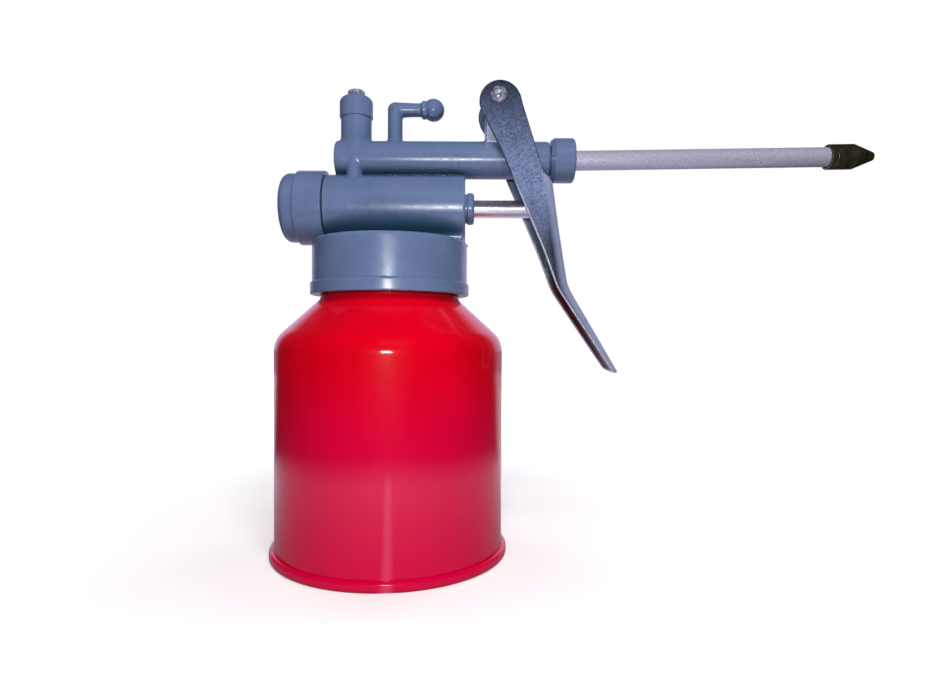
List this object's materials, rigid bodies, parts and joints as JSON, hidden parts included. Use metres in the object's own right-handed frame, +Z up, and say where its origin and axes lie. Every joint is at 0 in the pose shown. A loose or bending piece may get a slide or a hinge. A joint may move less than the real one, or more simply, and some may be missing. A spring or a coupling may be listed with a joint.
{
  "type": "pump oiler",
  "caption": "Lever-operated pump oiler: red coned tin can, screw-on slate plastic pump head with hook, squeeze lever, long straight metal spout with brass nozzle.",
  "frame": {"origin": "centre of the can's base, on the surface it stands on", "axes": "+Z up the can's axis, +X along the spout, away from the can"},
  "size_m": [0.1868, 0.073, 0.1439],
  "materials": {
    "red_enamel": "glossy enamel on tinplate",
    "slate_plastic": "semi-gloss moulded plastic",
    "hammered_steel": "dark speckled coating on sheet steel",
    "bright_steel": "bright plated or polished",
    "satin_aluminium": "satin drawn tube",
    "aged_brass": "dark aged brass",
    "seal_rubber": "black nitrile",
    "clear_tube": "translucent tube"
  },
  "bodies": {
    "can": {"can_shell": "red_enamel", "can_bottom": "red_enamel"},
    "head": {"pump_body": "slate_plastic", "neck_gasket": "seal_rubber", "cylinder_cap": "slate_plastic", "cap_seal": "seal_rubber", "gland_seal": "seal_rubber", "gland_nut": "slate_plastic", "spout_nut": "slate_plastic", "spout_seal": "seal_rubber", "spout_tube": "satin_aluminium", "nozzle_tip": "aged_brass", "valve_cap": "slate_plastic", "valve_seal": "seal_rubber", "valve_screw": "bright_steel", "inlet_seat": "aged_brass", "dip_tube": "clear_tube", "strainer": "aged_brass", "return_spring": "bright_steel", "outlet_spring": "bright_steel"},
    "lever": {"lever": "hammered_steel", "pivot_rivet": "bright_steel"},
    "plunger": {"plunger_rod": "bright_steel", "piston": "satin_aluminium", "piston_cup": "seal_rubber", "piston_nut": "bright_steel"},
    "inlet_ball": {"inlet_ball": "bright_steel"},
    "outlet_ball": {"outlet_ball": "bright_steel"}
  },
  "joints": [
    {"name": "head_lift", "type": "slide", "parent": "can", "child": "head", "axis": [0, 0, 1], "range_m": [0, 0.095]},
    {"name": "lever_squeeze", "type": "hinge", "parent": "head", "child": "lever", "pos_m": [0.0333, 0, 0.1395], "axis": [0, 1, 0], "range_deg": [0, 19], "stiffness_Nm_per_rad": 0.436, "springref_deg": -17.42},
    {"name": "plunger_slide", "type": "slide", "parent": "head", "child": "plunger", "axis": [-1, 0, 0], "range_m": [0, 0.01095], "deforming": ["return_spring"]},
    {"name": "inlet_ball_lift", "type": "slide", "parent": "head", "child": "inlet_ball", "axis": [0, 0, 1], "range_m": [0, 0.0014]},
    {"name": "outlet_ball_lift", "type": "slide", "parent": "head", "child": "outlet_ball", "axis": [0, 0, 1], "range_m": [0, 0.0014], "stiffness_N_per_m": 60, "springref_m": -0.001, "deforming": ["outlet_spring"]}
  ],
  "couplings": [
    {"joint": "plunger_slide", "follows": "lever_squeeze", "m_per_rad": 0.03289}
  ]
}
